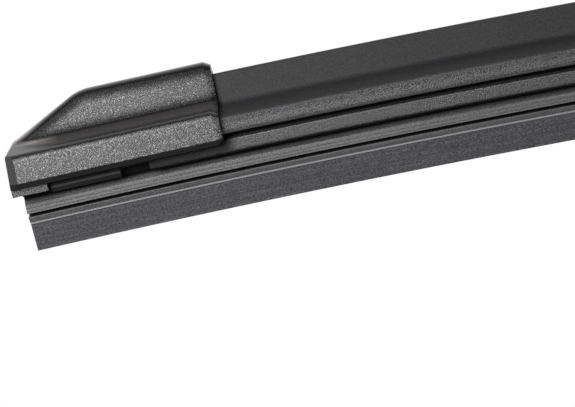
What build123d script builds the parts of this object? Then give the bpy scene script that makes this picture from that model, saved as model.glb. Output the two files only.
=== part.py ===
from build123d import *
import os
from math import degrees, radians, sin, tan

# Flat wiper blade with a free bow. X runs along the blade, Z points away from the glass,
# and the origin is on the axis of the pivot pin that the arm adapter rocks on.
# A section of the blade is drawn as (half width, height above the middle of the flexors).

# Whole blade
BLADE_LENGTH = 400.0      # nose to nose, along the bow
BOW_RADIUS = 2600.0       # free bow of the flexors
PIN_HEIGHT = 13.0         # pivot axis above the middle of the flexors
FIT = 0.05                # gap all round a flexor or a pin in what grips it
SLIP = 0.25               # gap between an extrusion and the moulding slipped over it

# Flexors, the two spring steel strips
FLEXOR_WIDTH = 4.7
FLEXOR_THICKNESS = 1.0
FLEXOR_INSET = 3.0        # strip's end, back from the nose of the cap

# Wiping rubber, from its head down to the tip of the lip
RUBBER_INSET = 1.5        # rubber's end, back from the nose of the cap
WEB_WIDTH = 2.0           # between the two flexors
HEAD_WIDTH = 6.6
HEAD_HEIGHT = 1.65        # above the flexors
BAR_WIDTH = 7.4
BAR_HEIGHT = 1.65         # below the flexors
NECK_WIDTH = 4.4
NECK_HEIGHT = 0.87
RIB_BAR_WIDTH = 6.8
RIB_BAR_HEIGHT = 1.83
RIB_BAR_SLOPE = 0.95      # height of the sloping top of the ribbed bar
RIB_NOTCH = 0.22          # width and depth of the notches between its ribs
LOWEST_RIB = 0.37
RIB_PITCH = 0.69
RIB_COUNT = 3
HINGE_WIDTH = 1.1
HINGE_HEIGHT = 0.75
SHOULDER_WIDTH = 6.0
SHOULDER_HEIGHT = 1.15
SHOULDER_FOOT = 4.2       # width at the bottom of the shoulder
LEDGE_WIDTH = 3.5
LEDGE_HEIGHT = 0.5
LIP_ROOT = 2.9
LIP_TIP = 0.8
LIP_HEIGHT = 5.75

# Spoiler extrusion
JAW_WALL = 1.1            # outside the flexor
JAW_ROOF = 0.8            # above the flexor
JAW_LIP = 1.7             # below the flexor
JAW_REACH = 1.7           # how far the lip reaches in under the flexor
JAW_ROUND = 1.0           # outer bottom corner
GROOVE_HEIGHT = 1.1       # side groove between jaw and skirt
GROOVE_DEPTH = 1.6
SKIRT_OVERHANG = 1.35     # skirt beyond the jaw
SKIRT_HEIGHT = 3.25
FLARE_RISE = 1.65         # from the skirt in to the foot of the fin
FIN_HEIGHT = 6.1
FIN_TIP = 1.6
FIN_FOOT = 3.5
FIN_FILLET = 1.4
HEAD_ROOM = 0.3           # above the rubber's head
SPOILER_EDGE = 0.3        # broken edges
CAP_INSERT = 16.0         # spoiler inside the end cap
COVER_INSERT = 7.2        # spoiler inside the centre cover

# End caps, moulded shells. The centre cover has the same section.
CAP_LENGTH = 44.3
CAP_SIDE_WALL = 2.5
CAP_DECK_WALL = 0.8       # over the foot of the fin, before the rounding there
CAP_FIN_WALL = 1.05       # beside the fin
CAP_RIDGE_WALL = 2.45     # over the fin
CAP_FIN_FOOT = 0.55       # extra half width at the foot of the cap's fin
CAP_SKIRT_DRAFT = 0.6     # skirt leans out by this much to its hem
CAP_DECK_FALL = 1.25      # deck falls by this much from fin to shoulder
CAP_HEM = 0.4             # hem above the middle of the flexors
CAP_SHOULDER_RADIUS = 1.7
CAP_VALLEY_RADIUS = 2.0
CAP_RIDGE_RADIUS = 2.0
CAP_HEM_EDGE = 1.25       # bevel along the hem
NOSE_SLOPE = 27.0         # fin's slope at the nose, in degrees
NOSE_SINK = 0.88          # foot of that slope below the foot of the fin
SLOPE_RADIUS = 10.0       # rounding between that slope and the ridge
NOSE_BEVEL = 42.0         # bevel across the top of the nose, in degrees
NOSE_DROP = 0.35          # foot of that bevel below the deck
NOSE_DRAFT = 2.5          # nose leans back from its hem, in degrees
NOSE_WALL = 2.0
NOSE_CORNER = 1.8         # bevel of the nose's upright corners, at the hem
CORNER_DRAFT = 5.4        # that bevel leans in from the hem, in degrees
RIM_EDGE = 0.8            # bevel of the rim, inwards
RIM_BEVEL = 1.4           # and along the cap
CAP_FLOOR = 1.2           # floor over the rubber's head
NOSE_BLOCK = 7.5          # closed foot under the nose
FOOT_DEPTH = 1.3          # foot below the middle of the flexors
FOOT_SLIT = 0.4
CAP_JAW = 14.4            # length of the cap's own jaws
CAP_JAW_ROUND = 1.6       # their outer bottom corner

# Centre base, cover, pin and arm adapter
BASE_LENGTH = 66.0
BASE_GAP = 0.2            # between base and cover
BASE_DECK = 0.5           # base over the room for the rubber's head
COVER_LENGTH = 92.0
COVER_SLOPE = 27.5        # in degrees
COVER_DECK_LENGTH = 42.0  # flat part between the two slopes
COVER_SADDLE = 8.0        # rounding between its slopes and its flat part
COVER_DROP = 0.4          # flat part below the shoulder of the section
COVER_WALL = 2.0
EAR_FOOT = 18.0           # ears that hold the pin, wider at the foot
EAR_TIP = 11.0
EAR_RISE = 5.2            # above the pivot axis
EAR_ROUND = 4.6
EAR_THICKNESS = 1.6
PIN_DIAMETER = 5.0
RIVET_HEAD = 7.4
RIVET_HEIGHT = 0.9
HOOK_WIDTH = 9.4          # room for the hook of a 9 mm arm
HOOK_ROOM = 4.3           # room for the hook's thickness
BARREL_RADIUS = 4.0       # what the hook curls round
ADAPTER_GAP = 0.3         # between adapter and ears
ADAPTER_ROUND = 1.5       # rear corners of the side plates
ADAPTER_BLOCK = 11.0      # block behind the pivot axis
ADAPTER_TAIL = 14.0       # side plates behind the pivot axis
TONGUE_LENGTH = 20.0      # locking tongue, from the pivot axis
TONGUE_WIDTH = 7.0
TONGUE_THICKNESS = 2.0
TONGUE_GRIP = 1.2         # finger grip under the tongue's end
ROCK_ANGLE = 15.0         # how far the adapter rocks each way, in degrees

# Places that follow from the sizes above
flexor_inner = WEB_WIDTH / 2 + 2 * FIT
flexor_outer = flexor_inner + FLEXOR_WIDTH
slot_outer = flexor_outer + 2 * FIT
slot_height = FLEXOR_THICKNESS / 2 + FIT
head_top = slot_height + HEAD_HEIGHT
head_roof = head_top + HEAD_ROOM
head_room = HEAD_WIDTH / 2 + HEAD_ROOM
jaw_outer = slot_outer + JAW_WALL
jaw_inner = slot_outer - JAW_REACH
jaw_top = slot_height + JAW_ROOF
jaw_bottom = -slot_height - JAW_LIP
skirt_half = jaw_outer + SKIRT_OVERHANG
skirt_bottom = jaw_top + GROOVE_HEIGHT
skirt_top = skirt_bottom + SKIRT_HEIGHT
fin_bottom = skirt_top + FLARE_RISE
fin_top = fin_bottom + FIN_HEIGHT
room_half = skirt_half + SLIP
cap_ridge = fin_top + SLIP + CAP_RIDGE_WALL
cap_valley = fin_bottom + SLIP + CAP_DECK_WALL
cap_deck = cap_valley - CAP_DECK_FALL
nose_foot = cap_valley - NOSE_SINK
cap_hem_half = room_half + CAP_SIDE_WALL
floor_top = head_roof + CAP_FLOOR
flexor_z = -PIN_HEIGHT
half_length = BLADE_LENGTH / 2
base_half = room_half - BASE_GAP
base_top = head_roof + BASE_DECK
adapter_half = base_half - EAR_THICKNESS - ADAPTER_GAP
spoiler_inner_end = COVER_LENGTH / 2 - COVER_INSERT
spoiler_outer_end = half_length - CAP_LENGTH + CAP_INSERT
far = BLADE_LENGTH        # longer than anything that is cut away

section_plane = Plane(origin=(0, 0, flexor_z), x_dir=(0, 1, 0), z_dir=(1, 0, 0))
bow_axis = Axis((0, 0, flexor_z - BOW_RADIUS), (0, 1, 0))


def mirrored_outline(half):
    """Face of the blade's section, from (half width, height, corner radius) down one side."""
    other = [(-y, z, r) for y, z, r in reversed(half)]
    corners = [*half, *other]
    points = [(y, z) for y, z, r in corners]
    outline = FilletPolyline(*points, radius=[r for y, z, r in corners], close=True)
    return section_plane * make_face(outline)


def along_bow(shape, distance):
    """The shape moved along the bow by that distance."""
    return shape.rotate(bow_axis, degrees(distance / BOW_RADIUS))


def bowed(face, start, end):
    """A section swept along the bow between two distances from the middle."""
    arc = degrees((end - start) / BOW_RADIUS)
    return revolve(along_bow(face, start), bow_axis, arc)


def straight(face, start, end):
    """A section pushed straight along X between two places."""
    return extrude(Pos(X=start) * face, amount=end - start, dir=(1, 0, 0))


def rectangle_outline(half_width, bottom, top):
    """A plain block across the middle of the section."""
    return mirrored_outline([(half_width, top, 0), (half_width, bottom, 0)])


def across(face, half_width):
    """A side view in X and Z, pushed across the blade to both sides."""
    return extrude(Plane.XZ * face, amount=half_width, both=True)


def side_outline(corners):
    """Face of a side view, from (X, height, corner radius)."""
    points = [(x, z) for x, z, r in corners]
    return make_face(FilletPolyline(*points, radius=[r for x, z, r in corners], close=True))


def block_across(start, end, half_width):
    """What a window cuts away, upwards from the middle of the flexors."""
    corners = [(start, 0, 0), (start, far, 0), (end, far, 0), (end, 0, 0)]
    return Pos(Z=flexor_z) * across(side_outline(corners), half_width)


def grip_outline():
    """What a moulding leaves free round the flexors and the rubber's head."""
    return mirrored_outline([
        (head_room, head_roof, 0),
        (head_room, slot_height, 0),
        (slot_outer, slot_height, 0),
        (slot_outer, -slot_height, 0),
        (jaw_inner, -slot_height, 0),
        (jaw_inner, jaw_bottom - SLIP, 0),
    ])


def spoiler_outline():
    return mirrored_outline([
        (FIN_TIP / 2 - SPOILER_EDGE, fin_top, 0),
        (FIN_TIP / 2, fin_top - SPOILER_EDGE, 0),
        (FIN_FOOT / 2, fin_bottom, FIN_FILLET),
        (skirt_half - SPOILER_EDGE, skirt_top, 0),
        (skirt_half, skirt_top - SPOILER_EDGE, 0),
        (skirt_half, skirt_bottom, 0),
        (jaw_outer - GROOVE_DEPTH, skirt_bottom, 0),
        (jaw_outer - GROOVE_DEPTH, jaw_top, 0),
        (jaw_outer, jaw_top, 0),
        (jaw_outer, jaw_bottom, JAW_ROUND),
        (jaw_inner, jaw_bottom, 0),
        (jaw_inner, -slot_height, 0),
        (slot_outer, -slot_height, 0),
        (slot_outer, slot_height, 0),
        (head_room, slot_height, 0),
        (head_room, head_roof, 0),
    ])


def spoiler_room(bottom):
    """The spoiler's outside with its slip, for the hollow of a moulding."""
    return mirrored_outline([
        (FIN_TIP / 2 + SLIP, fin_top + SLIP, 0),
        (FIN_FOOT / 2 + SLIP, fin_bottom + SLIP, FIN_FILLET),
        (room_half, skirt_top + SLIP, 0),
        (room_half, bottom, 0),
    ])


def rubber_outline():
    rib_half = RIB_BAR_WIDTH / 2
    bar_bottom = -slot_height - BAR_HEIGHT
    neck_bottom = bar_bottom - NECK_HEIGHT
    rib_top = neck_bottom - RIB_BAR_SLOPE
    rib_bottom = rib_top - RIB_BAR_HEIGHT
    shoulder_top = rib_bottom - HINGE_HEIGHT
    shoulder_bottom = shoulder_top - SHOULDER_HEIGHT
    ledge_bottom = shoulder_bottom - LEDGE_HEIGHT
    notches = []
    for rib in range(1, RIB_COUNT):
        notch = rib_bottom + LOWEST_RIB + RIB_PITCH * (RIB_COUNT - 1 - rib)
        notches += [
            (rib_half, notch + RIB_NOTCH / 2, 0),
            (rib_half - RIB_NOTCH, notch, 0),
            (rib_half, notch - RIB_NOTCH / 2, 0),
        ]
    return mirrored_outline([
        (HEAD_WIDTH / 2, head_top, 0),
        (HEAD_WIDTH / 2, slot_height, 0),
        (WEB_WIDTH / 2, slot_height, 0),
        (WEB_WIDTH / 2, -slot_height, 0),
        (BAR_WIDTH / 2, -slot_height, 0),
        (BAR_WIDTH / 2, bar_bottom, 0),
        (NECK_WIDTH / 2, bar_bottom, 0),
        (NECK_WIDTH / 2, neck_bottom, 0),
        (rib_half, rib_top, 0),
        *notches,
        (rib_half, rib_bottom, 0),
        (HINGE_WIDTH / 2, rib_bottom, 0),
        (HINGE_WIDTH / 2, shoulder_top, 0),
        (SHOULDER_WIDTH / 2, shoulder_top, 0),
        (SHOULDER_FOOT / 2, shoulder_bottom, 0),
        (LEDGE_WIDTH / 2, shoulder_bottom, 0),
        (LEDGE_WIDTH / 2, ledge_bottom, 0),
        (LIP_ROOT / 2, ledge_bottom, 0),
        (LIP_TIP / 2, ledge_bottom - LIP_HEIGHT, 0),
    ])


def cap_outline(rise, ridge_radius, valley_radius, shoulder_radius):
    """Outside of the end caps and of the centre cover, with its fin higher by the rise and with its corners rounded."""
    fin_half = FIN_TIP / 2 + SLIP + CAP_FIN_WALL
    foot_half = FIN_FOOT / 2 + SLIP + CAP_FIN_WALL + CAP_FIN_FOOT
    lean = (foot_half - fin_half) / (cap_ridge - cap_valley)
    return mirrored_outline([
        (fin_half - lean * rise, cap_ridge + rise, ridge_radius),
        (foot_half, cap_valley, valley_radius),
        (cap_hem_half - CAP_SKIRT_DRAFT, cap_deck, shoulder_radius),
        (cap_hem_half, CAP_HEM + CAP_HEM_EDGE, 0),
        (cap_hem_half - CAP_HEM_EDGE, CAP_HEM, 0),
    ])


def slope_cut(foot, height, angle, direction, end):
    """What a slope cuts away: it rises from its foot, and the cut ends in front of it."""
    rise = cap_ridge + CAP_LENGTH - height
    run = rise / tan(radians(angle))
    corners = [
        (foot, height, 0),
        (foot + direction * run, height + rise, 0),
        (end, height + rise, 0),
        (end, height, 0),
    ]
    return Pos(Z=flexor_z) * across(side_outline(corners), far)


def lengthwise(shape):
    """Straight edges along X in groups, the highest group last."""
    return shape.edges().filter_by(Axis.X).group_by(Axis.Z)


def rounded_cap(nose, rim):
    """Outside of an end cap, with its fin sloping down. It is rounded first, and its nose is cut to shape last."""
    start = nose - CAP_LENGTH
    slope = tan(radians(NOSE_SLOPE))
    above = Pos(Z=flexor_z) * across(side_outline([
        (start, nose_foot - CAP_LENGTH * slope, 0),
        (nose + (cap_ridge - nose_foot) / slope, cap_ridge, SLOPE_RADIUS),
        (far, cap_ridge, 0),
        (far, far, 0),
        (start, far, 0),
    ]), far)
    shell = straight(cap_outline(SLIP, 0, 0, 0), start, rim) - above
    shell = fillet(lengthwise(shell)[-3], CAP_SHOULDER_RADIUS)
    slope_face = shell.faces().sort_by(Axis.X)[0]
    bend_face = shell.faces().filter_by(GeomType.CYLINDER).sort_by(Axis.Z)[-1]
    flanks = slope_face.edges().filter_by(Axis.Y, reverse=True).sort_by(Axis.Z)[-2:]
    bends = bend_face.edges().filter_by(Axis.Y, reverse=True)
    shell = fillet(lengthwise(shell)[-1] + bends + flanks, CAP_RIDGE_RADIUS)
    shell = fillet(lengthwise(shell)[-3], CAP_VALLEY_RADIUS)
    reach = cap_hem_half + CAP_LENGTH
    corner_tip = nose + NOSE_CORNER - cap_hem_half
    corners = Polyline(
        (corner_tip, 0),
        (corner_tip + reach, -reach),
        (far, -reach),
        (far, reach),
        (corner_tip + reach, reach),
        close=True,
    )
    within = Pos(Z=flexor_z + CAP_HEM) * extrude(make_face(corners), amount=cap_ridge, taper=CORNER_DRAFT)
    drafted = (shell & within) - slope_cut(nose, CAP_HEM, 90 - NOSE_DRAFT, 1, -far)
    return drafted - slope_cut(nose, cap_deck - NOSE_DROP, NOSE_BEVEL, 1, -far)


def flexor(side):
    half = FLEXOR_THICKNESS / 2
    strip = Polyline(
        (side * flexor_inner, half),
        (side * flexor_outer, half),
        (side * flexor_outer, -half),
        (side * flexor_inner, -half),
        close=True,
    )
    end = half_length - FLEXOR_INSET
    return bowed(section_plane * make_face(strip), -end, end)


def wiper_rubber():
    end = half_length - RUBBER_INSET
    return bowed(rubber_outline(), -end, end)


def spoiler(side):
    start, end = sorted((side * spoiler_inner_end, side * spoiler_outer_end))
    return bowed(spoiler_outline(), start, end)


def end_cap():
    """The cap with its middle at X = 0 and its nose towards -X."""
    nose = -CAP_LENGTH / 2
    rim = CAP_LENGTH / 2
    stop = rim - CAP_INSERT - SLIP
    shell = rounded_cap(nose, rim)
    rim_face = shell.faces().sort_by(Axis.X)[-1]
    shell = chamfer(rim_face.edges(), RIM_EDGE, RIM_BEVEL, reference=rim_face)
    inner_foot = nose + NOSE_WALL / sin(radians(NOSE_SLOPE))
    inner_slope = slope_cut(inner_foot, nose_foot, NOSE_SLOPE, 1, -far)
    hollow = straight(spoiler_room(floor_top), nose + NOSE_WALL, stop) - inner_slope
    socket = straight(spoiler_room(jaw_bottom - SLIP), stop, rim + SLIP)
    foot_section = rectangle_outline(room_half, -FOOT_DEPTH, CAP_HEM)
    foot = straight(foot_section, nose, nose + NOSE_BLOCK)
    jaw_section = mirrored_outline([(jaw_outer, CAP_HEM, 0), (jaw_outer, jaw_bottom, CAP_JAW_ROUND)])
    jaw_start = nose + NOSE_BLOCK + FOOT_SLIT
    jaws = straight(jaw_section, jaw_start, jaw_start + CAP_JAW)
    grip = bowed(grip_outline(), nose + RUBBER_INSET - SLIP, rim)
    return shell + foot + jaws - hollow - socket - grip


def centre_base():
    half = BASE_LENGTH / 2
    slab = straight(rectangle_outline(base_half, jaw_bottom, base_top), -half, half)
    ear = side_outline([
        (-EAR_FOOT / 2, flexor_z, 0),
        (-EAR_TIP / 2, EAR_RISE, EAR_ROUND),
        (EAR_TIP / 2, EAR_RISE, EAR_ROUND),
        (EAR_FOOT / 2, flexor_z, 0),
    ])
    ears = across(ear, base_half) - across(ear, base_half - EAR_THICKNESS)
    grip = bowed(grip_outline(), -half - SLIP, half + SLIP)
    return slab + ears - grip - across(Circle(PIN_DIAMETER / 2), far)


def centre_cover():
    half = COVER_LENGTH / 2
    deck = COVER_DECK_LENGTH / 2
    deck_height = cap_deck - COVER_DROP
    above = cap_ridge + SLIP
    run = (above - deck_height) / tan(radians(COVER_SLOPE))
    saddle = Pos(Z=flexor_z) * across(side_outline([
        (-deck - run, above, 0),
        (-deck, deck_height, COVER_SADDLE),
        (deck, deck_height, COVER_SADDLE),
        (deck + run, above, 0),
    ]), far)
    section = cap_outline(0, CAP_RIDGE_RADIUS, CAP_VALLEY_RADIUS, CAP_SHOULDER_RADIUS)
    shell = straight(section, -half, half) - saddle
    room = straight(rectangle_outline(room_half, jaw_bottom - SLIP, base_top + FIT), -half, half)
    for side in (1, -1):
        inner_foot = side * (deck + COVER_WALL / sin(radians(COVER_SLOPE)))
        inner_slope = slope_cut(inner_foot, deck_height, COVER_SLOPE, side, 0)
        ends = sorted((side * deck, side * (half + SLIP)))
        room += straight(spoiler_room(base_top), *ends) - inner_slope
    window = block_across(-deck, deck, adapter_half + ADAPTER_GAP)
    ear_room = EAR_FOOT / 2 + SLIP
    return shell - room - window - block_across(-ear_room, ear_room, base_half + SLIP)


def pivot_pin():
    shank = PIN_DIAMETER / 2 - FIT / 2
    head = RIVET_HEAD / 2
    end = base_half + RIVET_HEIGHT
    half_section = [
        (0, end),
        (head, end),
        (head, base_half),
        (shank, base_half),
    ]
    other_half = [(x, -y) for x, y in reversed(half_section)]
    return revolve(make_face(Polyline(*half_section, *other_half, close=True)), Axis.Y)


def hook_adapter():
    reach = BARREL_RADIUS + HOOK_ROOM
    tail_foot = tan(radians(ROCK_ANGLE)) * ADAPTER_TAIL - reach
    block = Circle(BARREL_RADIUS) + side_outline([
        (0, BARREL_RADIUS, 0),
        (ADAPTER_BLOCK, BARREL_RADIUS, 0),
        (ADAPTER_BLOCK, -BARREL_RADIUS, ADAPTER_ROUND),
        (0, -BARREL_RADIUS, 0),
    ])
    plate = Circle(reach) + side_outline([
        (0, reach, 0),
        (ADAPTER_TAIL, reach, ADAPTER_ROUND),
        (ADAPTER_TAIL, tail_foot, ADAPTER_ROUND),
        (0, -reach, 0),
    ])
    tongue_foot = BARREL_RADIUS - TONGUE_THICKNESS
    tongue = side_outline([
        (ADAPTER_BLOCK / 2, BARREL_RADIUS, 0),
        (TONGUE_LENGTH, BARREL_RADIUS, 0),
        (TONGUE_LENGTH, tongue_foot - TONGUE_GRIP, 0),
        (TONGUE_LENGTH - TONGUE_THICKNESS, tongue_foot, 0),
        (ADAPTER_BLOCK / 2, tongue_foot, 0),
    ])
    plates = across(plate, adapter_half) - across(plate, HOOK_WIDTH / 2)
    body = across(block, HOOK_WIDTH / 2) + plates + across(tongue, TONGUE_WIDTH / 2)
    return body - across(Circle(PIN_DIAMETER / 2 + FIT), far)


os.makedirs("parts", exist_ok=True)
cap_middle = half_length - CAP_LENGTH / 2
cap = end_cap()
nodes = {
    "wiper_rubber": wiper_rubber(),
    "flexor_front": flexor(-1),
    "flexor_rear": flexor(1),
    "spoiler_left": spoiler(-1),
    "spoiler_right": spoiler(1),
    "end_cap_left": along_bow(cap, -cap_middle),
    "end_cap_right": along_bow(cap.rotate(Axis.Z, 180), cap_middle),
    "centre_base": centre_base(),
    "centre_cover": centre_cover(),
    "pivot_pin": pivot_pin(),
    "hook_adapter": hook_adapter(),
}
for name, shape in nodes.items():
    export_step(shape, f"parts/{name}.step")
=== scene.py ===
import bmesh
import bpy
import math
from mathutils import Matrix, Vector


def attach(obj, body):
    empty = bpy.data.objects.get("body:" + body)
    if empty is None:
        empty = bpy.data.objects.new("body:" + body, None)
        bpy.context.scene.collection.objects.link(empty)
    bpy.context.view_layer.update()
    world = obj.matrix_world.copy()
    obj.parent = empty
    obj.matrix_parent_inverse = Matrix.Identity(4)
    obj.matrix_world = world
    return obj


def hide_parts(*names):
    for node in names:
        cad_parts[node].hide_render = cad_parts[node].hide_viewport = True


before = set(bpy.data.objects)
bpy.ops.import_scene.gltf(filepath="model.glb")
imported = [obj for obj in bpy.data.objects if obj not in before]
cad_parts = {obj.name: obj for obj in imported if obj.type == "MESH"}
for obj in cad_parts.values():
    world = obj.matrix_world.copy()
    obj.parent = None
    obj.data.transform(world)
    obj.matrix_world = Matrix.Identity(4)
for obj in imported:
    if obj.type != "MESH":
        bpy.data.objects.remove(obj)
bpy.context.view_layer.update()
scene = bpy.context.scene
scene.view_settings.view_transform = "Standard"


# Wiping rubber. One soft extrusion, cut to length: a head that the two steel strips hold between them, a ribbed
# bar, a thin hinge that lets the lip tip over, a shoulder that stops it, and the tapering lip.
mm = 0.001
bow_radius = 2600 * mm
half_length = 200 * mm          # along the bow
flexor_height = -13 * mm        # middle of the strips, from the pivot axis
crease_angle = math.radians(35)
flat_face_weight = 90


def linear(colour):
    """Linear colour of an sRGB hex value."""
    parts = [int(colour[i:i + 2], 16) / 255 for i in (1, 3, 5)]
    return (*[p / 12.92 if p <= 0.04045 else ((p + 0.055) / 1.055) ** 2.4 for p in parts], 1.0)


def add_node(tree, kind, inputs=None, **settings):
    """Adds a node with its settings. An input is a value, or the output socket that feeds it."""
    node = tree.nodes.new(kind)
    for name, value in settings.items():
        setattr(node, name, value)
    for key, value in (inputs or {}).items():
        if isinstance(value, bpy.types.NodeSocket):
            tree.links.new(value, node.inputs[key])
        else:
            node.inputs[key].default_value = value
    return node


def new_material(name):
    """An empty node material, with its tree and its surface socket."""
    material = bpy.data.materials.new(name)
    material.use_nodes = True
    tree = material.node_tree
    tree.nodes.clear()
    surface = add_node(tree, "ShaderNodeOutputMaterial").inputs["Surface"]
    return material, tree, surface


def bowed_extrusion_tree():
    """Rounds the corners of a section, pushes it along X and bends it to the bow of the blade."""
    tree = bpy.data.node_groups.new("bowed extrusion", "GeometryNodeTree")
    sockets = [
        ("Section", "NodeSocketGeometry"),
        ("Start", "NodeSocketFloat"),
        ("End", "NodeSocketFloat"),
        ("Steps", "NodeSocketInt"),
        ("Corner Steps", "NodeSocketInt"),
        ("Bow Radius", "NodeSocketFloat"),
        ("Flexor Height", "NodeSocketFloat"),
        ("Material", "NodeSocketMaterial"),
    ]
    for name, kind in sockets:
        tree.interface.new_socket(name, in_out="INPUT", socket_type=kind)
    tree.interface.new_socket("Extrusion", in_out="OUTPUT", socket_type="NodeSocketGeometry")
    given = add_node(tree, "NodeGroupInput").outputs
    bow = given["Bow Radius"]

    outline = add_node(tree, "GeometryNodeMeshToCurve", {"Mesh": given["Section"]})
    corner = add_node(tree, "GeometryNodeInputNamedAttribute", {"Name": "corner_radius"}, data_type="FLOAT")
    rounded = add_node(tree, "GeometryNodeFilletCurve", {
        "Curve": outline.outputs[0], "Count": given["Corner Steps"],
        "Radius": corner.outputs[0], "Limit Radius": True,
    }, mode="POLY")

    start = add_node(tree, "ShaderNodeCombineXYZ", {"X": given["Start"]})
    end = add_node(tree, "ShaderNodeCombineXYZ", {"X": given["End"]})
    line = add_node(tree, "GeometryNodeCurvePrimitiveLine", {
        "Start": start.outputs[0], "End": end.outputs[0],
    })
    path = add_node(tree, "GeometryNodeResampleCurve", {"Curve": line.outputs[0], "Count": given["Steps"]})
    upright = add_node(tree, "GeometryNodeSetCurveNormal", {"Curve": path.outputs[0]}, mode="Z_UP")
    pushed = add_node(tree, "GeometryNodeCurveToMesh", {
        "Curve": upright.outputs[0], "Profile Curve": rounded.outputs[0], "Fill Caps": True,
    })

    place = add_node(tree, "GeometryNodeInputPosition").outputs[0]
    unbent = add_node(tree, "GeometryNodeStoreNamedAttribute", {
        "Geometry": pushed.outputs[0], "Name": "unbent", "Value": place,
    }, data_type="FLOAT_VECTOR", domain="POINT")
    axes = add_node(tree, "ShaderNodeSeparateXYZ", {"Vector": place}).outputs
    turn = add_node(tree, "ShaderNodeMath", {0: axes["X"], 1: bow}, operation="DIVIDE").outputs[0]
    reach = add_node(tree, "ShaderNodeMath", {0: axes["Z"], 1: bow}, operation="ADD").outputs[0]
    sine = add_node(tree, "ShaderNodeMath", {0: turn}, operation="SINE").outputs[0]
    cosine = add_node(tree, "ShaderNodeMath", {0: turn}, operation="COSINE").outputs[0]
    along = add_node(tree, "ShaderNodeMath", {0: reach, 1: sine}, operation="MULTIPLY").outputs[0]
    risen = add_node(tree, "ShaderNodeMath", {0: reach, 1: cosine}, operation="MULTIPLY").outputs[0]
    sunk = add_node(tree, "ShaderNodeMath", {0: risen, 1: bow}, operation="SUBTRACT").outputs[0]
    height = add_node(tree, "ShaderNodeMath", {
        0: sunk, 1: given["Flexor Height"],
    }, operation="ADD").outputs[0]
    bent_place = add_node(tree, "ShaderNodeCombineXYZ", {"X": along, "Y": axes["Y"], "Z": height})
    bent = add_node(tree, "GeometryNodeSetPosition", {
        "Geometry": unbent.outputs[0], "Position": bent_place.outputs[0],
    })

    whole = add_node(tree, "GeometryNodeRealizeInstances", {"Geometry": bent.outputs[0]})
    dressed = add_node(tree, "GeometryNodeSetMaterial", {
        "Geometry": whole.outputs[0], "Material": given["Material"],
    })
    add_node(tree, "NodeGroupOutput", {0: dressed.outputs[0]})
    return tree


bowed_extrusion = bowed_extrusion_tree()


def settled(piece):
    """Turns a piece's modifiers into a plain mesh."""
    depsgraph = bpy.context.evaluated_depsgraph_get()
    mesh = bpy.data.meshes.new_from_object(
        piece.evaluated_get(depsgraph), preserve_all_data_layers=True, depsgraph=depsgraph)
    piece.modifiers.clear()
    piece.data = mesh
    return mesh


def plain_mesh(piece):
    """A plain mesh that faces outwards, with edges below the crease angle smooth and flat faces flat."""
    mesh = settled(piece)
    work = bmesh.new()
    work.from_mesh(mesh)
    bmesh.ops.recalc_face_normals(work, faces=work.faces)
    work.to_mesh(mesh)
    work.free()
    mesh.shade_smooth()
    mesh.set_sharp_from_angle(angle=crease_angle)
    weigh = piece.modifiers.new("flat faces", "WEIGHTED_NORMAL")
    weigh.keep_sharp = True
    weigh.weight = flat_face_weight
    settled(piece)
    return piece


def extrusion(name, outline, start, end, steps, corner_steps, material):
    """A bowed length of a section, which is (half width, height, corner radius) in mm, all the way round."""
    mesh = bpy.data.meshes.new(name)
    count = len(outline)
    edges = [(i, (i + 1) % count) for i in range(count)]
    mesh.from_pydata([(-y * mm, -h * mm, 0) for y, h, r in outline], edges, [])
    corner = mesh.attributes.new("corner_radius", "FLOAT", "POINT")
    corner.data.foreach_set("value", [r * mm for y, h, r in outline])
    piece = bpy.data.objects.new(name, mesh)
    scene.collection.objects.link(piece)
    modifier = piece.modifiers.new("bowed extrusion", "NODES")
    modifier.node_group = bowed_extrusion
    values = {
        "Start": start, "End": end, "Steps": steps, "Corner Steps": corner_steps,
        "Bow Radius": bow_radius, "Flexor Height": flexor_height, "Material": material,
    }
    for item in bowed_extrusion.interface.items_tree:
        if item.in_out == "INPUT" and item.name in values:
            modifier[item.identifier] = values[item.name]
    return plain_mesh(piece)


def both_sides(half):
    """The whole outline of a section from the right half of it."""
    return [*half, *[(-y, h, r) for y, h, r in reversed(half)]]


# Extruded synthetic rubber: the lip is dusted with graphite and dull, the ribs above it are bare and half glossy,
# and the edge where they meet carries a painted highlight, a pale line. The lines that the die draws along it are
# about 0.2 mm apart on the real one, and its graphite is a fine powder. They are drawn at 0.35 mm and 0.28 mm so
# that they show.
die_line_length = 25 * mm
die_line_pitch = 0.35 * mm
die_line_depth = 0.05 * mm
graphite_size = 0.28 * mm
head_fade_bottom, head_fade_top = -3.4 * mm, -2.9 * mm
hinge_middle, hinge_reach, hinge_core = -6.22 * mm, 0.45 * mm, 0.35 * mm
lip_fade_top, lip_fade_bottom = -6.2 * mm, -8.35 * mm
highlight_edge, highlight_reach, highlight_core = -8.0 * mm, 0.3 * mm, 0.2 * mm

rubber, tree, surface = new_material("extruded wiping rubber")
place = add_node(tree, "ShaderNodeAttribute", attribute_name="unbent").outputs["Vector"]
height = add_node(tree, "ShaderNodeSeparateXYZ", {"Vector": place}).outputs["Z"]
stretched = add_node(tree, "ShaderNodeMapping", {
    "Vector": place, "Scale": (1 / die_line_length, 1 / die_line_pitch, 1 / die_line_pitch),
}).outputs[0]
die_lines = add_node(tree, "ShaderNodeTexNoise", {
    "Vector": stretched, "Scale": 1.0, "Detail": 2.0,
}).outputs["Fac"]
graphite = add_node(tree, "ShaderNodeTexNoise", {
    "Vector": place, "Scale": 1 / graphite_size, "Detail": 2.0, "Roughness": 0.6,
}).outputs["Fac"]
speckle = add_node(tree, "ShaderNodeMapRange", {
    "Value": graphite, "From Min": 0.35, "From Max": 0.65,
}).outputs[0]
dust = add_node(tree, "ShaderNodeMath", {0: die_lines, 1: speckle}, operation="MULTIPLY").outputs[0]
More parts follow.
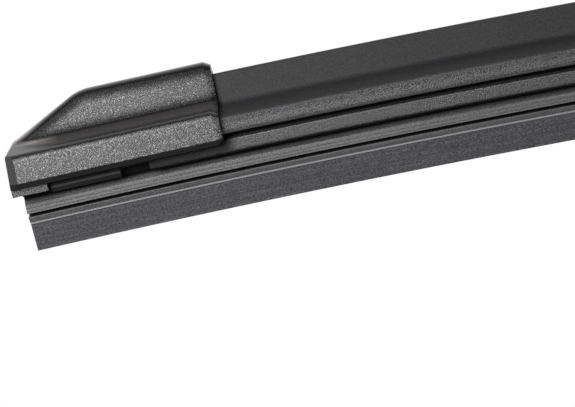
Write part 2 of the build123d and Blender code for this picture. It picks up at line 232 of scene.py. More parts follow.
in_lip = add_node(tree, "ShaderNodeMapRange", {
    "Value": height, "From Min": lip_fade_top, "From Max": lip_fade_bottom,
}).outputs[0]
# Painted highlight: a pale line is painted along the ledge at the top of the lip.
off_edge = add_node(tree, "ShaderNodeMath", {0: height, 1: highlight_edge}, operation="SUBTRACT").outputs[0]
from_edge = add_node(tree, "ShaderNodeMath", {0: off_edge}, operation="ABSOLUTE").outputs[0]
painted_edge_highlight = add_node(tree, "ShaderNodeMapRange", {
    "Value": from_edge, "From Min": highlight_reach, "From Max": highlight_core,
}, interpolation_type="SMOOTHSTEP").outputs[0]
# Painted shade: the head, bar and neck under the spoiler's jaws and the groove of the hinge are painted near black,
# and the rubber is duller there.
head_painted_shade = add_node(tree, "ShaderNodeMapRange", {
    "Value": height, "From Min": head_fade_bottom, "From Max": head_fade_top,
}, interpolation_type="SMOOTHSTEP").outputs[0]
off_hinge = add_node(tree, "ShaderNodeMath", {0: height, 1: hinge_middle}, operation="SUBTRACT").outputs[0]
from_hinge = add_node(tree, "ShaderNodeMath", {0: off_hinge}, operation="ABSOLUTE").outputs[0]
hinge_painted_shade = add_node(tree, "ShaderNodeMapRange", {
    "Value": from_hinge, "From Min": hinge_reach, "From Max": hinge_core,
}, interpolation_type="SMOOTHSTEP").outputs[0]
recess_shade_and_dull = add_node(tree, "ShaderNodeMath", {0: head_painted_shade, 1: hinge_painted_shade}, operation="MAXIMUM").outputs[0]
# A Mix node for colours takes its factor at 0 and its colours at 6 and 7, and gives the result at 2.
rib_colour = add_node(tree, "ShaderNodeMix", {
    0: dust, 6: linear("#505052"), 7: linear("#989899"),
}, data_type="RGBA").outputs[2]
lip_colour = add_node(tree, "ShaderNodeMix", {
    0: dust, 6: linear("#2a2a2d"), 7: linear("#78787c"),
}, data_type="RGBA").outputs[2]
upper_colour = add_node(tree, "ShaderNodeMix", {
    0: recess_shade_and_dull, 6: rib_colour, 7: linear("#161617"),
}, data_type="RGBA").outputs[2]
bare_colour = add_node(tree, "ShaderNodeMix", {
    0: in_lip, 6: upper_colour, 7: lip_colour,
}, data_type="RGBA").outputs[2]
rubber_colour = add_node(tree, "ShaderNodeMix", {
    0: painted_edge_highlight, 6: bare_colour, 7: linear("#929294"),
}, data_type="RGBA").outputs[2]
open_roughness = add_node(tree, "ShaderNodeMapRange", {
    "Value": in_lip, "To Min": 0.42, "To Max": 0.62,
}).outputs[0]
rubber_roughness = add_node(tree, "ShaderNodeMapRange", {
    "Value": recess_shade_and_dull, "To Min": open_roughness, "To Max": 0.8,
}).outputs[0]
rubber_gloss = add_node(tree, "ShaderNodeMapRange", {
    "Value": recess_shade_and_dull, "To Min": 0.5, "To Max": 0.15,
}).outputs[0]
rubber_bump = add_node(tree, "ShaderNodeBump", {
    "Height": dust, "Strength": 0.7, "Distance": die_line_depth,
}).outputs[0]
rubber_shader = add_node(tree, "ShaderNodeBsdfPrincipled", {
    "Base Color": rubber_colour, "Roughness": rubber_roughness, "Normal": rubber_bump, "IOR": 1.52,
    "Specular IOR Level": rubber_gloss,
}).outputs[0]
tree.links.new(rubber_shader, surface)

rib_half, notch_floor, notch_reach = 3.4, 3.18, 0.13
rib_notches = []
for notch in (-4.79, -5.48):
    rib_notches += [
        (rib_half, notch + notch_reach, 0.1),
        (notch_floor, notch, 0.04),
        (rib_half, notch - notch_reach, 0.1),
    ]
rubber_section = both_sides([
    (3.3, 2.2, 0.3),            # head
    (3.3, 0.55, 0.2),
    (1.0, 0.55, 0.15),          # slot for a strip
    (1.0, -0.55, 0.15),
    (3.7, -0.55, 0.2),          # bar below the strips
    (3.7, -2.2, 0.25),
    (2.2, -2.2, 0.2),           # neck
    (2.2, -3.07, 0.3),
    (rib_half, -4.02, 0.2),     # ribbed bar
    *rib_notches,
    (rib_half, -5.85, 0.12),
    (0.55, -5.85, 0.2),         # hinge
    (0.55, -6.6, 0.2),
    (3.0, -6.6, 0.12),          # shoulder
    (2.1, -7.75, 0.12),
    (1.75, -7.75, 0.05),        # ledge
    (1.75, -8.25, 0.12),
    (1.45, -8.25, 0.1),         # lip
    (0.4, -14.0, 0.04),
])
rubber_end = half_length - 1.5 * mm
wiping_rubber = extrusion(
    "wiping_rubber", rubber_section, -rubber_end, rubber_end, steps=160, corner_steps=4, material=rubber)
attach(wiping_rubber, "blade")
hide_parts("wiper_rubber")


# Flexors. Two flat strips of spring steel that carry the bow of the blade, cut from coil, with their edges dressed.
# They lie in the slots beside the rubber's head, and a thin black coating keeps them from rusting.
rolling_length = 12 * mm
rolling_pitch = 0.4 * mm
rolling_depth = 0.01 * mm
strip_coat, tree, surface = new_material("black coated spring steel")
place = add_node(tree, "ShaderNodeAttribute", attribute_name="unbent").outputs["Vector"]
stretched = add_node(tree, "ShaderNodeMapping", {
    "Vector": place, "Scale": (1 / rolling_length, 1 / rolling_pitch, 1 / rolling_pitch),
}).outputs[0]
rolling = add_node(tree, "ShaderNodeTexNoise", {
    "Vector": stretched, "Scale": 1.0, "Detail": 3.0,
}).outputs["Fac"]
coat_colour = add_node(tree, "ShaderNodeMix", {
    0: rolling, 6: linear("#0d0d0e"), 7: linear("#171718"),
}, data_type="RGBA").outputs[2]
coat_roughness = add_node(tree, "ShaderNodeMapRange", {
    "Value": rolling, "To Min": 0.5, "To Max": 0.7,
}).outputs[0]
coat_bump = add_node(tree, "ShaderNodeBump", {
    "Height": rolling, "Strength": 0.4, "Distance": rolling_depth,
}).outputs[0]
coat_shader = add_node(tree, "ShaderNodeBsdfPrincipled", {
    "Base Color": coat_colour, "Roughness": coat_roughness, "Normal": coat_bump, "IOR": 1.5,
    "Specular IOR Level": 0.2,
}).outputs[0]
tree.links.new(coat_shader, surface)

strip_inner, strip_outer, strip_half = 1.1, 5.8, 0.5
inner_edge, outer_edge = 0.2, 0.35
flexor_end = half_length - 3 * mm
for name, side in (("flexor_front", -1), ("flexor_rear", 1)):
    inner, outer = side * strip_inner, side * strip_outer
    strip_section = [
        (inner, strip_half, inner_edge),
        (outer, strip_half, outer_edge),
        (outer, -strip_half, outer_edge),
        (inner, -strip_half, inner_edge),
    ]
    flexor = extrusion(
        name + "_strip", strip_section, -flexor_end, flexor_end, steps=120, corner_steps=4, material=strip_coat)
    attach(flexor, "blade")
    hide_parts(name)


# Spoilers. One extrusion of two plastics on each side of the middle: hard jaws that clip round the strips, with
# a skirt above them, and a softer fin welded on in the die that turns the wind into pressure on the glass.
# The hard part is matte, with a fine grain that is drawn at 0.27 mm so that it shows. The fin is duller.
spoiler_grain_size = 0.27 * mm
spoiler_grain_depth = 0.04 * mm
weld_bottom, weld_top = 5.25 * mm, 5.5 * mm
groove_middle, groove_reach, groove_core = 1.5 * mm, 0.8 * mm, 0.25 * mm
jaw_fade_top, jaw_fade_bottom = -1.3 * mm, -1.9 * mm
mouth_start, mouth_end = half_length - 47.5 * mm, half_length - 44 * mm
shade_top, shade_full = 2.2 * mm, 1.5 * mm

spoiler_plastic, tree, surface = new_material("coextruded spoiler plastic")
place = add_node(tree, "ShaderNodeAttribute", attribute_name="unbent").outputs["Vector"]
axes = add_node(tree, "ShaderNodeSeparateXYZ", {"Vector": place}).outputs
height = axes["Z"]
in_fin = add_node(tree, "ShaderNodeMapRange", {
    "Value": height, "From Min": weld_bottom, "From Max": weld_top,
}, interpolation_type="SMOOTHSTEP").outputs[0]
frosting = add_node(tree, "ShaderNodeTexNoise", {
    "Vector": place, "Scale": 1 / spoiler_grain_size, "Detail": 2.0, "Roughness": 0.6,
}).outputs["Fac"]
grain = add_node(tree, "ShaderNodeMapRange", {
    "Value": frosting, "From Min": 0.38, "From Max": 0.62,
}, interpolation_type="SMOOTHSTEP").outputs[0]
hard_colour = add_node(tree, "ShaderNodeMix", {
    0: grain, 6: linear("#262628"), 7: linear("#565658"),
}, data_type="RGBA").outputs[2]
soft_colour = add_node(tree, "ShaderNodeMix", {
    0: grain, 6: linear("#212123"), 7: linear("#333335"),
}, data_type="RGBA").outputs[2]
outer_colour = add_node(tree, "ShaderNodeMix", {
    0: in_fin, 6: hard_colour, 7: soft_colour,
}, data_type="RGBA").outputs[2]
# Inside the groove and under the jaws the die leaves the plastic rough and dull, and its colour there is painted
# near black as painted shade. Where the jaws run into the mouth of an end cap, the cap's shadow is painted on them.
off_groove = add_node(tree, "ShaderNodeMath", {0: height, 1: groove_middle}, operation="SUBTRACT").outputs[0]
from_groove = add_node(tree, "ShaderNodeMath", {0: off_groove}, operation="ABSOLUTE").outputs[0]
groove_painted_shade = add_node(tree, "ShaderNodeMapRange", {
    "Value": from_groove, "From Min": groove_reach, "From Max": groove_core,
}, interpolation_type="SMOOTHSTEP").outputs[0]
under_jaw_painted_shade = add_node(tree, "ShaderNodeMapRange", {
    "Value": height, "From Min": jaw_fade_top, "From Max": jaw_fade_bottom,
}, interpolation_type="SMOOTHSTEP").outputs[0]
along = add_node(tree, "ShaderNodeMath", {0: axes["X"]}, operation="ABSOLUTE").outputs[0]
cap_shadow_along = add_node(tree, "ShaderNodeMapRange", {
    "Value": along, "From Min": mouth_start, "From Max": mouth_end, "To Max": 0.72,
}, interpolation_type="SMOOTHSTEP").outputs[0]
cap_shadow = add_node(tree, "ShaderNodeMapRange", {
    "Value": height, "From Min": shade_top, "From Max": shade_full, "To Max": cap_shadow_along,
}).outputs[0]
hidden_painted_shade = add_node(tree, "ShaderNodeMath", {0: groove_painted_shade, 1: under_jaw_painted_shade}, operation="MAXIMUM").outputs[0]
spoiler_shade_and_dull = add_node(tree, "ShaderNodeMath", {0: hidden_painted_shade, 1: cap_shadow}, operation="MAXIMUM").outputs[0]
spoiler_colour = add_node(tree, "ShaderNodeMix", {
    0: spoiler_shade_and_dull, 6: outer_colour, 7: linear("#0e0e0e"),
}, data_type="RGBA").outputs[2]
outer_gloss = add_node(tree, "ShaderNodeMapRange", {
    "Value": in_fin, "To Min": 0.9, "To Max": 0.45,
}).outputs[0]
spoiler_gloss = add_node(tree, "ShaderNodeMapRange", {
    "Value": spoiler_shade_and_dull, "To Min": outer_gloss, "To Max": 0.1,
}).outputs[0]
outer_roughness = add_node(tree, "ShaderNodeMapRange", {
    "Value": in_fin, "To Min": 0.35, "To Max": 0.66,
}).outputs[0]
spoiler_roughness = add_node(tree, "ShaderNodeMapRange", {
    "Value": spoiler_shade_and_dull, "To Min": outer_roughness, "To Max": 0.8,
}).outputs[0]
grain_strength = add_node(tree, "ShaderNodeMapRange", {
    "Value": in_fin, "To Min": 0.6, "To Max": 0.3,
}).outputs[0]
spoiler_bump = add_node(tree, "ShaderNodeBump", {
    "Height": grain, "Strength": grain_strength, "Distance": spoiler_grain_depth,
}).outputs[0]
spoiler_shader = add_node(tree, "ShaderNodeBsdfPrincipled", {
    "Base Color": spoiler_colour, "Roughness": spoiler_roughness, "Normal": spoiler_bump, "IOR": 1.5,
    "Specular IOR Level": spoiler_gloss,
}).outputs[0]
tree.links.new(spoiler_shader, surface)

spoiler_section = both_sides([
    (0.8, 13.45, 0.3),          # fin
    (1.75, 7.35, 1.4),
    (8.33, 5.7, 0.4),           # skirt, a little hollow
    (8.26, 4.2, 3.0),
    (8.35, 2.1, 0.9),
    (5.4, 2.1, 0.25),           # side groove
    (5.4, 0.95, 0.25),
    (7.0, 0.95, 0.3),           # jaw
    (7.0, -2.25, 1.0),
    (4.2, -2.25, 0.3),
    (4.2, -0.55, 0.1),          # slot for a strip
    (5.9, -0.55, 0.1),
    (5.9, 0.55, 0.1),
    (3.6, 0.55, 0.1),           # room for the rubber's head
    (3.6, 2.5, 0.2),
])
spoiler_inner_end = 38.8 * mm
spoiler_outer_end = half_length - 28.3 * mm
for name, start, end in (
    ("spoiler_left", -spoiler_outer_end, -spoiler_inner_end),
    ("spoiler_right", spoiler_inner_end, spoiler_outer_end),
):
    spoiler = extrusion(
        name + "_extrusion", spoiler_section, start, end, steps=70, corner_steps=6, material=spoiler_plastic)
    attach(spoiler, "blade")
    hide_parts(name)


# End caps. Hollow mouldings that slip over the end of the spoiler and clip round the strips with their own jaws.
# They close the end of the blade with a nose that slopes down from the fin, and their edges are softly rounded.
merge_distance = 0.001 * mm
flat_angle = math.radians(0.3)
edge_angle = math.radians(32)


def moulded(name, node, edge, steps, material):
    """A copy of a CAD node with its points merged, its flat faces joined and its sharp edges rounded."""
    piece = bpy.data.objects.new(name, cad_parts[node].data.copy())
    scene.collection.objects.link(piece)
    mesh = piece.data
    if "custom_normal" in mesh.attributes:
        mesh.attributes.remove(mesh.attributes["custom_normal"])
    work = bmesh.new()
    work.from_mesh(mesh)
    bmesh.ops.remove_doubles(work, verts=work.verts, dist=merge_distance)
    bmesh.ops.dissolve_limit(work, angle_limit=flat_angle, verts=work.verts, edges=work.edges)
    work.to_mesh(mesh)
    work.free()
    mesh.materials.clear()
    mesh.materials.append(material)
    bevel = piece.modifiers.new("rounded edges", "BEVEL")
    bevel.width = edge
    bevel.segments = steps
    bevel.limit_method = "ANGLE"
    bevel.angle_limit = edge_angle
    bevel.miter_outer = "MITER_ARC"
    return plain_mesh(piece)


# Moulded ABS, near black. The sides have the grain of a spark-eroded mould, and its glitter is painted as pale
# speckles.
# The roundings and the top are smoother, and what lies under the hem is dull and painted dark as painted shade,
# apart from the foot at the nose.
# The grain is about 0.15 mm on the real one and is drawn at 0.2 mm so that it shows.
pit_size = 0.2 * mm
pit_depth = 0.05 * mm
cap_plastic, tree, surface = new_material("spark grained ABS")
mapped = add_node(tree, "ShaderNodeTexCoord").outputs
place = mapped["Object"]
pits = add_node(tree, "ShaderNodeTexNoise", {
    "Vector": place, "Scale": 1 / pit_size, "Detail": 2.0, "Roughness": 0.6,
}).outputs["Fac"]
sharp_pits = add_node(tree, "ShaderNodeMapRange", {
    "Value": pits, "From Min": 0.44, "From Max": 0.58,
}, interpolation_type="SMOOTHSTEP").outputs[0]
normal = add_node(tree, "ShaderNodeSeparateXYZ", {"Vector": mapped["Normal"]}).outputs
sideways = add_node(tree, "ShaderNodeMath", {0: normal["Y"]}, operation="ABSOLUTE").outputs[0]
grained = add_node(tree, "ShaderNodeMapRange", {
    "Value": sideways, "From Min": 0.72, "From Max": 0.99, "To Min": 0.1, "To Max": 1.0,
}, interpolation_type="SMOOTHSTEP").outputs[0]

# Places on the cap are given by their reach from the centre of the bow and by how far along the blade they are.
bow_centre = flexor_height - bow_radius
hem_top, hem_inside = bow_radius + 1.72 * mm, bow_radius + 1.52 * mm
foot_top, foot_inside = bow_radius + 0.5 * mm, bow_radius + 0.2 * mm
foot_slit, foot_edge = half_length - 7.8 * mm, half_length - 7.4 * mm
axes = add_node(tree, "ShaderNodeSeparateXYZ", {"Vector": place}).outputs
from_centre = add_node(tree, "ShaderNodeMath", {0: axes["Z"], 1: bow_centre}, operation="SUBTRACT").outputs[0]
on_bow = add_node(tree, "ShaderNodeCombineXYZ", {"X": axes["X"], "Z": from_centre}).outputs[0]
reach = add_node(tree, "ShaderNodeVectorMath", {0: on_bow}, operation="LENGTH").outputs["Value"]
along = add_node(tree, "ShaderNodeMath", {0: axes["X"]}, operation="ABSOLUTE").outputs[0]
under_hem = add_node(tree, "ShaderNodeMapRange", {
    "Value": reach, "From Min": hem_top, "From Max": hem_inside,
}, interpolation_type="SMOOTHSTEP").outputs[0]
low = add_node(tree, "ShaderNodeMapRange", {
    "Value": reach, "From Min": foot_top, "From Max": foot_inside,
}).outputs[0]
at_nose = add_node(tree, "ShaderNodeMapRange", {
    "Value": along, "From Min": foot_slit, "From Max": foot_edge,
}).outputs[0]
on_foot = add_node(tree, "ShaderNodeMath", {0: low, 1: at_nose}, operation="MULTIPLY").outputs[0]
cap_shade_and_dull = add_node(tree, "ShaderNodeMath", {0: under_hem, 1: on_foot}, operation="SUBTRACT").outputs[0]

# On the fin the grain and its painted glints fade towards the ridge, down the slope of the nose and towards the
# corner with the deck.
slope_start = half_length - 16.9 * mm
ridge_top, nose_top = bow_radius + 16.15 * mm, bow_radius + 7.5 * mm
top_fade_start, top_fade_end = 1.0 * mm, 3.2 * mm
deck_fade_bottom, deck_fade_top = bow_radius + 8.8 * mm, bow_radius + 11.0 * mm
shoulder_top, shoulder_bottom = bow_radius + 8.0 * mm, bow_radius + 7.6 * mm
top = add_node(tree, "ShaderNodeMapRange", {
    "Value": along, "From Min": slope_start, "From Max": half_length, "To Min": ridge_top, "To Max": nose_top,
}).outputs[0]
below_top = add_node(tree, "ShaderNodeMath", {0: top, 1: reach}, operation="SUBTRACT").outputs[0]
off_top = add_node(tree, "ShaderNodeMapRange", {
    "Value": below_top, "From Min": top_fade_start, "From Max": top_fade_end,
}, interpolation_type="SMOOTHSTEP").outputs[0]
off_deck = add_node(tree, "ShaderNodeMapRange", {
    "Value": reach, "From Min": deck_fade_bottom, "From Max": deck_fade_top,
}, interpolation_type="SMOOTHSTEP").outputs[0]
clear = add_node(tree, "ShaderNodeMath", {0: off_top, 1: off_deck}, operation="MULTIPLY").outputs[0]
on_fin = add_node(tree, "ShaderNodeMapRange", {"Value": clear, "To Min": 0.15, "To Max": 0.8}).outputs[0]
on_skirt = add_node(tree, "ShaderNodeMapRange", {
    "Value": reach, "From Min": shoulder_top, "From Max": shoulder_bottom,
}).outputs[0]
left_over = add_node(tree, "ShaderNodeMath", {0: on_fin, 1: on_skirt}, operation="MAXIMUM").outputs[0]
open_grain = add_node(tree, "ShaderNodeMath", {0: grained, 1: left_over}, operation="MULTIPLY").outputs[0]
# Painted glints: where the grain is open, its pits are painted pale grey.
painted_glints = add_node(tree, "ShaderNodeMath", {0: sharp_pits, 1: open_grain}, operation="MULTIPLY").outputs[0]
grain_and_glint_colour = add_node(tree, "ShaderNodeMix", {
    0: painted_glints, 6: linear("#0a0a0b"), 7: linear("#8e8e90"),
}, data_type="RGBA").outputs[2]

# Dust lies in a drift along the deck below the fin, and a painted highlight lies along it. It is thickest and
# palest towards the nose, where it moves in to the foot of the slope, and it fades off the end of the nose, which
# is worn.
thin_drift, thick_drift = bow_radius + 12 * mm, bow_radius + 9 * mm
nose_start, nose_full = half_length - 11 * mm, half_length - 3 * mm
drift_outer, drift_inner = 6.1 * mm, 2.8 * mm
drift_reach, drift_core = 2.8 * mm, 0.8 * mm
end_fade_start, end_fade_full = half_length - 5.5 * mm, half_length - 2.5 * mm
facing_up = add_node(tree, "ShaderNodeMapRange", {
    "Value": normal["Z"], "From Min": 0.6, "From Max": 0.97,
}, interpolation_type="SMOOTHSTEP").outputs[0]
below_ridge = add_node(tree, "ShaderNodeMapRange", {
    "Value": reach, "From Min": thin_drift, "From Max": thick_drift, "To Min": 0.3, "To Max": 1.0,
}).outputs[0]
near_nose = add_node(tree, "ShaderNodeMapRange", {
    "Value": along, "From Min": nose_start, "From Max": nose_full,
}).outputs[0]
outward = add_node(tree, "ShaderNodeMath", {0: axes["Y"]}, operation="ABSOLUTE").outputs[0]
drift_middle = add_node(tree, "ShaderNodeMapRange", {
    "Value": near_nose, "To Min": drift_outer, "To Max": drift_inner,
}).outputs[0]
off_drift = add_node(tree, "ShaderNodeMath", {0: outward, 1: drift_middle}, operation="SUBTRACT").outputs[0]
from_drift = add_node(tree, "ShaderNodeMath", {0: off_drift}, operation="ABSOLUTE").outputs[0]
in_drift = add_node(tree, "ShaderNodeMapRange", {
    "Value": from_drift, "From Min": drift_reach, "From Max": drift_core,
}, interpolation_type="SMOOTHSTEP").outputs[0]
off_end = add_node(tree, "ShaderNodeMapRange", {
    "Value": along, "From Min": end_fade_start, "From Max": end_fade_full, "To Min": 1.0, "To Max": 0.1,
}).outputs[0]
lying = add_node(tree, "ShaderNodeMath", {0: facing_up, 1: below_ridge}, operation="MULTIPLY").outputs[0]
drifted = add_node(tree, "ShaderNodeMath", {0: lying, 1: in_drift}, operation="MULTIPLY").outputs[0]
dust_and_highlight = add_node(tree, "ShaderNodeMath", {0: drifted, 1: off_end}, operation="MULTIPLY").outputs[0]
# Painted highlight: towards the nose the drift is painted paler, as a highlight on the deck.
dust_and_highlight_colour = add_node(tree, "ShaderNodeMix", {
    0: near_nose, 6: linear("#4c4a49"), 7: linear("#a09a98"),
}, data_type="RGBA").outputs[2]
endways = add_node(tree, "ShaderNodeMath", {0: normal["X"]}, operation="ABSOLUTE").outputs[0]
worn = add_node(tree, "ShaderNodeMapRange", {
    "Value": endways, "From Min": 0.5, "From Max": 0.9, "To Max": near_nose,
}).outputs[0]
worn_colour = add_node(tree, "ShaderNodeMix", {
    0: worn, 6: grain_and_glint_colour, 7: linear("#444141"),
}, data_type="RGBA").outputs[2]
cap_dust_and_highlight_colour = add_node(tree, "ShaderNodeMix", {
    0: dust_and_highlight, 6: worn_colour, 7: dust_and_highlight_colour,
}, data_type="RGBA").outputs[2]

# Under the hem the jaws are dull and painted dark as painted shade, with a paler painted line where light reaches
# them below the hem's shadow.
line_middle, line_reach, line_core = bow_radius - 0.96 * mm, 0.35 * mm, 0.1 * mm
off_line = add_node(tree, "ShaderNodeMath", {0: reach, 1: line_middle}, operation="SUBTRACT").outputs[0]
from_line = add_node(tree, "ShaderNodeMath", {0: off_line}, operation="ABSOLUTE").outputs[0]
painted_lit_line = add_node(tree, "ShaderNodeMapRange", {
    "Value": from_line, "From Min": line_reach, "From Max": line_core,
}).outputs[0]
jaw_shade_and_lit_colour = add_node(tree, "ShaderNodeMix", {
    0: painted_lit_line, 6: linear("#161616"), 7: linear("#464648"),
}, data_type="RGBA").outputs[2]
cap_colour = add_node(tree, "ShaderNodeMix", {
    0: cap_shade_and_dull, 6: cap_dust_and_highlight_colour, 7: jaw_shade_and_lit_colour,
}, data_type="RGBA").outputs[2]
side_roughness = add_node(tree, "ShaderNodeMapRange", {
    "Value": grained, "To Min": 0.27, "To Max": 0.36,
}).outputs[0]
cap_roughness = add_node(tree, "ShaderNodeMapRange", {
    "Value": cap_shade_and_dull, "To Min": side_roughness, "To Max": 0.6,
}).outputs[0]
faded = add_node(tree, "ShaderNodeMath", {0: grained, 1: open_grain}, operation="SUBTRACT").outputs[0]
side_gloss = add_node(tree, "ShaderNodeMapRange", {
    "Value": faded, "From Max": 0.8, "To Min": 0.7, "To Max": 0.1,
}).outputs[0]
cap_gloss = add_node(tree, "ShaderNodeMapRange", {
    "Value": cap_shade_and_dull, "To Min": side_gloss, "To Max": 0.25,
}).outputs[0]
cap_bump = add_node(tree, "ShaderNodeBump", {
    "Height": sharp_pits, "Strength": grained, "Distance": pit_depth,
}).outputs[0]
cap_shader = add_node(tree, "ShaderNodeBsdfPrincipled", {
    "Base Color": cap_colour, "Roughness": cap_roughness, "Normal": cap_bump, "IOR": 1.54,
    "Specular IOR Level": cap_gloss,
}).outputs[0]
tree.links.new(cap_shader, surface)

for name in ("end_cap_left", "end_cap_right"):
    cap = moulded(name + "_moulding", name, edge=0.18 * mm, steps=2, material=cap_plastic)
    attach(cap, "blade")
    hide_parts(name)


# Centre base. Steel pressed to a saddle that grips both strips at the middle of the blade, with two ears for the
# pin. It is powder coated black after it is pressed.
peel_size = 0.6 * mm
peel_depth = 0.04 * mm
powder_coat, tree, surface = new_material("powder coated steel")
place = add_node(tree, "ShaderNodeTexCoord").outputs["Object"]
orange_peel = add_node(tree, "ShaderNodeTexNoise", {
    "Vector": place, "Scale": 1 / peel_size, "Detail": 1.0,
}).outputs["Fac"]
powder_colour = add_node(tree, "ShaderNodeMix", {
    0: orange_peel, 6: linear("#1a1a1b"), 7: linear("#232324"),
}, data_type="RGBA").outputs[2]
powder_roughness = add_node(tree, "ShaderNodeMapRange", {
    "Value": orange_peel, "From Min": 0.3, "From Max": 0.7, "To Min": 0.36, "To Max": 0.46,
}).outputs[0]
powder_bump = add_node(tree, "ShaderNodeBump", {
    "Height": orange_peel, "Strength": 0.35, "Distance": peel_depth,
}).outputs[0]
powder_shader = add_node(tree, "ShaderNodeBsdfPrincipled", {
    "Base Color": powder_colour, "Roughness": powder_roughness, "Normal": powder_bump, "IOR": 1.5,
}).outputs[0]
tree.links.new(powder_shader, surface)

base = moulded("centre_base_pressing", "centre_base", edge=0.25 * mm, steps=2, material=powder_coat)
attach(base, "blade")
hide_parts("centre_base")


# Pivot pin. A steel rivet through both ears and the arm adapter, headed over on each side.
# It is bare steel, and turning leaves fine rings on its heads.
ring_pitch = 0.15 * mm
ring_depth = 0.01 * mm
pin_steel, tree, surface = new_material("bare turned steel")
place = add_node(tree, "ShaderNodeTexCoord").outputs["Object"]
axes = add_node(tree, "ShaderNodeSeparateXYZ", {"Vector": place}).outputs
from_axis = add_node(tree, "ShaderNodeCombineXYZ", {"X": axes["X"], "Z": axes["Z"]}).outputs[0]
radius = add_node(tree, "ShaderNodeVectorMath", {0: from_axis}, operation="LENGTH").outputs["Value"]
rings = add_node(tree, "ShaderNodeTexNoise", {
    "W": radius, "Scale": 1 / ring_pitch, "Detail": 2.0,
}, noise_dimensions="1D").outputs["Fac"]
pin_colour = add_node(tree, "ShaderNodeMix", {
    0: rings, 6: linear("#b4b5b8"), 7: linear("#cfd0d2"),
}, data_type="RGBA").outputs[2]
pin_roughness = add_node(tree, "ShaderNodeMapRange", {
    "Value": rings, "To Min": 0.22, "To Max": 0.42,
}).outputs[0]
pin_bump = add_node(tree, "ShaderNodeBump", {
    "Height": rings, "Strength": 0.3, "Distance": ring_depth,
}).outputs[0]
pin_shader = add_node(tree, "ShaderNodeBsdfPrincipled", {
    "Base Color": pin_colour, "Roughness": pin_roughness, "Normal": pin_bump, "Metallic": 1.0,
}).outputs[0]
tree.links.new(pin_shader, surface)

pin = moulded("pivot_pin_rivet", "pivot_pin", edge=0.3 * mm, steps=3, material=pin_steel)
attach(pin, "blade")
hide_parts("pivot_pin")


# Centre cover. A moulding of the same plastic and section as the caps, clipped over the base, with a window for
# the adapter and a hood at each end that takes in the spoiler.
cover = moulded("centre_cover_moulding", "centre_cover", edge=0.25 * mm, steps=2, material=cap_plastic)
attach(cover, "blade")
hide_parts("centre_cover")


# Hook adapter. A satin moulding that turns on the pin: the arm's hook curls round its barrel between two side
# plates, and a springy tongue locks it there.
skin_size = 0.4 * mm
skin_depth = 0.02 * mm
flow_size = 6 * mm
adapter_plastic, tree, surface = new_material("satin moulded acetal")
place = add_node(tree, "ShaderNodeTexCoord").outputs["Object"]
skin = add_node(tree, "ShaderNodeTexNoise", {
    "Vector": place, "Scale": 1 / skin_size, "Detail": 2.0,
}).outputs["Fac"]
flow = add_node(tree, "ShaderNodeTexNoise", {
    "Vector": place, "Scale": 1 / flow_size, "Detail": 2.0,
}).outputs["Fac"]
adapter_colour = add_node(tree, "ShaderNodeMix", {
    0: flow, 6: linear("#1c1c1e"), 7: linear("#28282a"),
}, data_type="RGBA").outputs[2]
adapter_roughness = add_node(tree, "ShaderNodeMapRange", {
    "Value": flow, "From Min": 0.3, "From Max": 0.7, "To Min": 0.34, "To Max": 0.44,
}).outputs[0]
adapter_bump = add_node(tree, "ShaderNodeBump", {
    "Height": skin, "Strength": 0.25, "Distance": skin_depth,
}).outputs[0]
adapter_shader = add_node(tree, "ShaderNodeBsdfPrincipled", {
    "Base Color": adapter_colour, "Roughness": adapter_roughness, "Normal": adapter_bump, "IOR": 1.48,
}).outputs[0]
tree.links.new(adapter_shader, surface)

adapter = moulded("hook_adapter_moulding", "hook_adapter", edge=0.25 * mm, steps=2, material=adapter_plastic)
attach(adapter, "adapter")
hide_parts("hook_adapter")


# Floor. A pale matte board well below the blade, which hangs from its adapter as it does on an arm.
# To the camera it glows enough to run into the white behind it, and it keeps what shadow falls on it.
fibre_size = 3 * mm
board_glow = 0.8
floor_height = -0.4
floor_half_width = 0.6
floor_front, floor_back = -0.7, 0.38
board, tree, surface = new_material("pale matte board")
place = add_node(tree, "ShaderNodeTexCoord").outputs["Object"]
fibres = add_node(tree, "ShaderNodeTexNoise", {
    "Vector": place, "Scale": 1 / fibre_size, "Detail": 3.0,
}).outputs["Fac"]
board_colour = add_node(tree, "ShaderNodeMix", {
    0: fibres, 6: linear("#e6e6e4"), 7: linear("#eeeeec"),
}, data_type="RGBA").outputs[2]
matte = add_node(tree, "ShaderNodeBsdfDiffuse", {"Color": board_colour}).outputs[0]
seen = add_node(tree, "ShaderNodeLightPath").outputs["Is Camera Ray"]
glow_level = add_node(tree, "ShaderNodeMath", {0: seen, 1: board_glow}, operation="MULTIPLY").outputs[0]
glow = add_node(tree, "ShaderNodeEmission", {"Color": linear("#ffffff"), "Strength": glow_level}).outputs[0]
board_shader = add_node(tree, "ShaderNodeAddShader", {0: matte, 1: glow}).outputs[0]
tree.links.new(board_shader, surface)

floor_mesh = bpy.data.meshes.new("floor")
floor_mesh.from_pydata([
    (-floor_half_width, floor_front, floor_height),
    (floor_half_width, floor_front, floor_height),
    (floor_half_width, floor_back, floor_height),
    (-floor_half_width, floor_back, floor_height),
], [], [(0, 1, 2, 3)])
floor_mesh.materials.append(board)
floor = bpy.data.objects.new("floor", floor_mesh)
scene.collection.objects.link(floor)


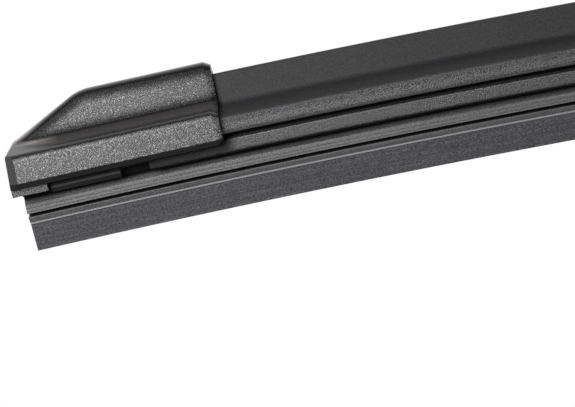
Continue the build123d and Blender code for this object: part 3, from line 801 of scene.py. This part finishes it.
# Light. One softbox in front of the left end of the blade and a little above it, in a studio that is white at the
# level of the eye and dim above, below and in front. The camera sees white, and reflections show that backdrop.
lit_place = Vector((-0.16, 0, -0.02))
lamp_azimuth = math.radians(-23)
lamp_elevation = math.radians(20)
lamp_distance = 0.32
lamp_brightness = 15
lamp = bpy.data.lights.new("front softbox", "AREA")
lamp.shape = "RECTANGLE"
lamp.size = 0.19
lamp.size_y = 0.13
lamp.energy = lamp_brightness * math.pi * lamp.size * lamp.size_y
softbox = bpy.data.objects.new("front softbox", lamp)
softbox.location = lit_place + lamp_distance * Vector((
    math.sin(lamp_azimuth) * math.cos(lamp_elevation),
    -math.cos(lamp_azimuth) * math.cos(lamp_elevation),
    math.sin(lamp_elevation),
))
aim = lit_place - softbox.location
softbox.rotation_euler = aim.to_track_quat("-Z", "Y").to_euler()
softbox.visible_camera = False
scene.collection.objects.link(softbox)

world = bpy.data.worlds.new("studio")
scene.world = world
world.use_nodes = True
tree = world.node_tree
tree.nodes.clear()
rays = add_node(tree, "ShaderNodeLightPath").outputs
direction = add_node(tree, "ShaderNodeTexCoord").outputs["Generated"]
axes = add_node(tree, "ShaderNodeSeparateXYZ", {"Vector": direction}).outputs
above = add_node(tree, "ShaderNodeMapRange", {
    "Value": axes["Z"], "From Min": 0.1, "From Max": 0.75, "To Min": 1.0, "To Max": 0.6,
}, interpolation_type="SMOOTHSTEP").outputs[0]
below = add_node(tree, "ShaderNodeMapRange", {
    "Value": axes["Z"], "From Min": -0.3, "From Max": 0.0, "To Min": 0.2, "To Max": 1.0,
}, interpolation_type="SMOOTHSTEP").outputs[0]
behind = add_node(tree, "ShaderNodeMapRange", {
    "Value": axes["Y"], "From Min": -0.1, "From Max": 0.4, "To Min": 0.2, "To Max": 1.0,
}, interpolation_type="SMOOTHSTEP").outputs[0]
upright = add_node(tree, "ShaderNodeMath", {0: above, 1: below}, operation="MULTIPLY").outputs[0]
room = add_node(tree, "ShaderNodeMath", {0: upright, 1: behind}, operation="MULTIPLY").outputs[0]
backdrop = add_node(tree, "ShaderNodeMapRange", {
    "Value": axes["Y"], "From Min": 0.3, "From Max": 0.6,
}).outputs[0]
mirrored = add_node(tree, "ShaderNodeMath", {
    0: rays["Is Glossy Ray"], 1: backdrop,
}, operation="MULTIPLY").outputs[0]
through = add_node(tree, "ShaderNodeMath", {
    0: rays["Is Camera Ray"], 1: rays["Is Transmission Ray"],
}, operation="MAXIMUM").outputs[0]
shown = add_node(tree, "ShaderNodeMath", {0: through, 1: mirrored}, operation="MAXIMUM").outputs[0]
level = add_node(tree, "ShaderNodeMix", {0: shown, 2: room, 3: 1.0}).outputs[0]
sky = add_node(tree, "ShaderNodeBackground", {"Color": linear("#ffffff"), "Strength": level}).outputs[0]
add_node(tree, "ShaderNodeOutputWorld", {"Surface": sky})


# Camera. A long lens in front of the left end of the blade and a little above it, rolled so that the blade rises to
# the right across the picture.
view_azimuth = math.radians(4)
view_elevation = math.radians(9)
view_roll = math.radians(9.19)
view_distance = 1.5
picture_width = 116.06 * mm
sensor_width = 36
target = Vector((-145.535, -2.708, -32.192)) * mm
back = Vector((
    math.sin(view_azimuth) * math.cos(view_elevation),
    -math.cos(view_azimuth) * math.cos(view_elevation),
    math.sin(view_elevation),
))
level_right = Vector((math.cos(view_azimuth), math.sin(view_azimuth), 0))
level_up = back.cross(level_right)
right = level_right * math.cos(view_roll) - level_up * math.sin(view_roll)
up = level_right * math.sin(view_roll) + level_up * math.cos(view_roll)
camera_data = bpy.data.cameras.new("camera")
camera_data.sensor_fit = "HORIZONTAL"
camera_data.sensor_width = sensor_width
camera_data.lens = sensor_width * view_distance / picture_width
camera = bpy.data.objects.new("camera", camera_data)
view_turn = Matrix((right, up, back)).transposed().to_4x4()
camera.matrix_world = Matrix.Translation(target + back * view_distance) @ view_turn
scene.collection.objects.link(camera)
scene.camera = camera
